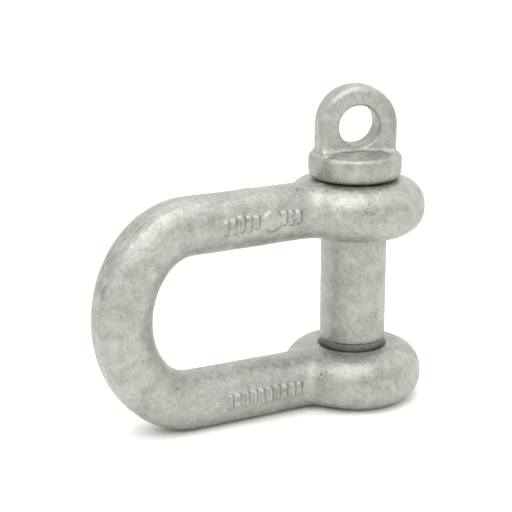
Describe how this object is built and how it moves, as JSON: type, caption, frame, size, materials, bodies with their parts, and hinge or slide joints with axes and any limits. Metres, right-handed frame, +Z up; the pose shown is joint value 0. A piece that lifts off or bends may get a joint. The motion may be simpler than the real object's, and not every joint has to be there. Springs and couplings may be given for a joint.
{
  "type": "dee shackle",
  "caption": "Galvanised dee shackle: forged round-bar body with two eared limbs, closed by an eye pin with a collar that screws into the lower ear.",
  "frame": {"origin": "middle of the footprint on the plane that the lower limb and the lower ear stand on", "axes": "+Z up along the pin towards its eye, -X towards the bow, Y across the bar"},
  "size_m": [0.1336, 0.053, 0.1216],
  "materials": {
    "zinc_body": "hot-dip galvanised, matte and mottled",
    "zinc_pin": "hot-dip galvanised, matte and mottled",
    "thread_steel": "cut thread, dull grey, lightly oiled"
  },
  "bodies": {
    "shackle": {"shackle_body": "zinc_body"},
    "pin_carrier": {"pin_shank": "zinc_pin"},
    "pin_screw": {"pin_head": "zinc_pin", "pin_thread": "thread_steel"}
  },
  "joints": [
    {"name": "pin_advance", "type": "slide", "parent": "shackle", "child": "pin_carrier", "axis": [0, 0, 1], "range_m": [0, 0.0855]},
    {"name": "pin_turn", "type": "hinge", "parent": "pin_carrier", "child": "pin_screw", "pos_m": [0.04033, 0, 0.1066], "axis": [0, 0, 1], "range_deg": [0, 10260]}
  ],
  "couplings": [
    {"joint": "pin_turn", "follows": "pin_advance", "rad_per_m": 2094.4}
  ]
}
